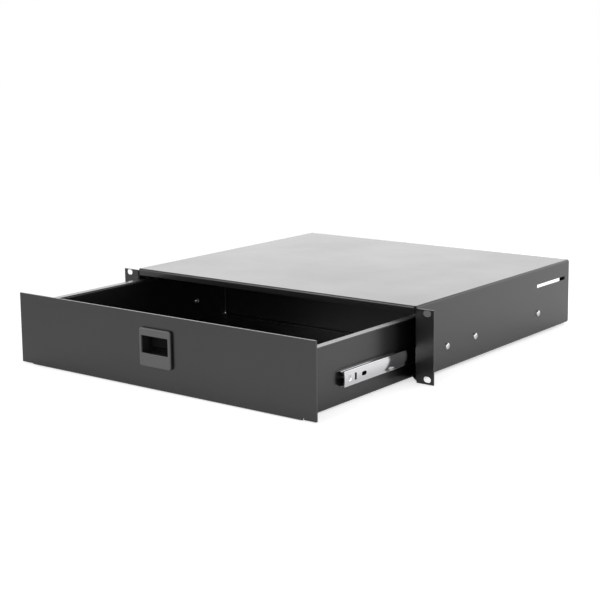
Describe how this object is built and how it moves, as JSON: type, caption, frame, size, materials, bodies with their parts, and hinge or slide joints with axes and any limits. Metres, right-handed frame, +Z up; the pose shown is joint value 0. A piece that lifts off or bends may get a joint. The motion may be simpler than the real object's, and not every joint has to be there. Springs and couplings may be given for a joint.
{
  "type": "sliding rack drawer",
  "caption": "Sliding drawer for a 19-inch rack: folded steel case with slotted ears, wide front panel, flush finger latch and ball-bearing slides.",
  "frame": {"origin": "centre of the four ear slots, on the rear face of the ears, which lies on the rack", "axes": "+X to the right seen from the front, +Y into the rack, +Z up"},
  "size_m": [0.4826, 0.5795, 0.0881],
  "materials": {
    "black_powder_coat": "textured black powder coat",
    "zinc_fasteners": "bright zinc plate",
    "latch_casting": "satin black paint on a die casting",
    "slide_zinc": "bright zinc plate on steel strip",
    "latch_trigger": "satin black paint on a die casting",
    "spring_steel": "oiled spring wire",
    "bumper_rubber": "black rubber",
    "cage_steel": "thin plated strip",
    "bearing_steel": "polished steel"
  },
  "bodies": {
    "housing": {"housing_shell": "black_powder_coat", "cabinet_slide_left": "slide_zinc", "cabinet_slide_right": "slide_zinc", "cabinet_slide_screws_left": "zinc_fasteners", "cabinet_slide_screws_right": "zinc_fasteners", "slide_bumper_left": "bumper_rubber", "slide_bumper_right": "bumper_rubber"},
    "drawer": {"drawer_tray": "black_powder_coat", "tray_front_wall": "black_powder_coat", "tray_rear_wall": "black_powder_coat", "front_panel": "black_powder_coat", "front_panel_studs": "zinc_fasteners", "front_panel_nuts": "zinc_fasteners", "latch_housing": "latch_casting", "latch_back_plate": "slide_zinc", "latch_screws": "zinc_fasteners", "latch_pivot_pin": "zinc_fasteners", "latch_trigger_spring": "spring_steel", "drawer_slide_left": "slide_zinc", "drawer_slide_right": "slide_zinc", "drawer_slide_screws_left": "zinc_fasteners", "drawer_slide_screws_right": "zinc_fasteners"},
    "ball_cage_left": {"ball_cage_left": "cage_steel", "bearing_balls_left": "bearing_steel"},
    "ball_cage_right": {"ball_cage_right": "cage_steel", "bearing_balls_right": "bearing_steel"},
    "latch_trigger": {"latch_trigger": "latch_trigger"},
    "latch_bolt": {"latch_bolt": "slide_zinc"}
  },
  "joints": [
    {"name": "drawer_travel", "type": "slide", "parent": "housing", "child": "drawer", "axis": [0, -1, 0], "range_m": [-0.1933, 0.0317]},
    {"name": "cage_travel_left", "type": "slide", "parent": "housing", "child": "ball_cage_left", "axis": [0, -1, 0], "range_m": [-0.0967, 0.0159]},
    {"name": "cage_travel_right", "type": "slide", "parent": "housing", "child": "ball_cage_right", "axis": [0, -1, 0], "range_m": [-0.0967, 0.0159]},
    {"name": "trigger_pull", "type": "hinge", "parent": "drawer", "child": "latch_trigger", "pos_m": [0.002, -0.1885, 0.0179], "axis": [-1, 0, 0], "range_deg": [0, 36], "stiffness_Nm_per_rad": 0.05, "springref_deg": -20.05},
    {"name": "bolt_travel", "type": "slide", "parent": "drawer", "child": "latch_bolt", "axis": [0, 0, -1], "range_m": [0, 0.007]}
  ],
  "couplings": [
    {"joint": "cage_travel_left", "follows": "drawer_travel", "ratio": 0.5},
    {"joint": "cage_travel_right", "follows": "drawer_travel", "ratio": 0.5},
    {"joint": "trigger_pull", "follows": "bolt_travel", "rad_per_m": 89.7}
  ]
}
